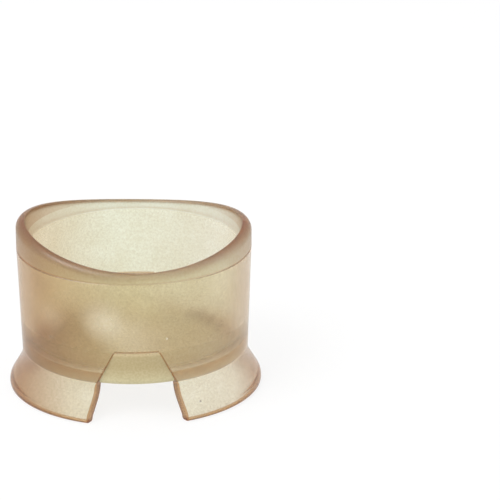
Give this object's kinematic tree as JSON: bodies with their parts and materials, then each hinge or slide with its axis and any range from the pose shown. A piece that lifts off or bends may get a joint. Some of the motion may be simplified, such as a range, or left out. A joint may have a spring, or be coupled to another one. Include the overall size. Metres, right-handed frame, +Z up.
{
  "type": "eye bath",
  "caption": "Oval eye bath of translucent amber PVC: a saddle-shaped lip on a deep bowl that stands on flared feet parted by notches. Holds eyewash against the eye.",
  "frame": {"origin": "middle of the oval, on the plane that the feet stand on", "axes": "+X along the oval's long axis towards the right foot, +Y from the front notch to the back one, +Z up through the mouth"},
  "size_m": [0.048, 0.0346, 0.0341],
  "materials": {
    "amber_pvc": "satin, translucent"
  },
  "bodies": {
    "root": {"rim_lip": "amber_pvc", "bowl_wall": "amber_pvc", "bowl_base": "amber_pvc", "left_foot": "amber_pvc", "right_foot": "amber_pvc"}
  },
  "joints": []
}
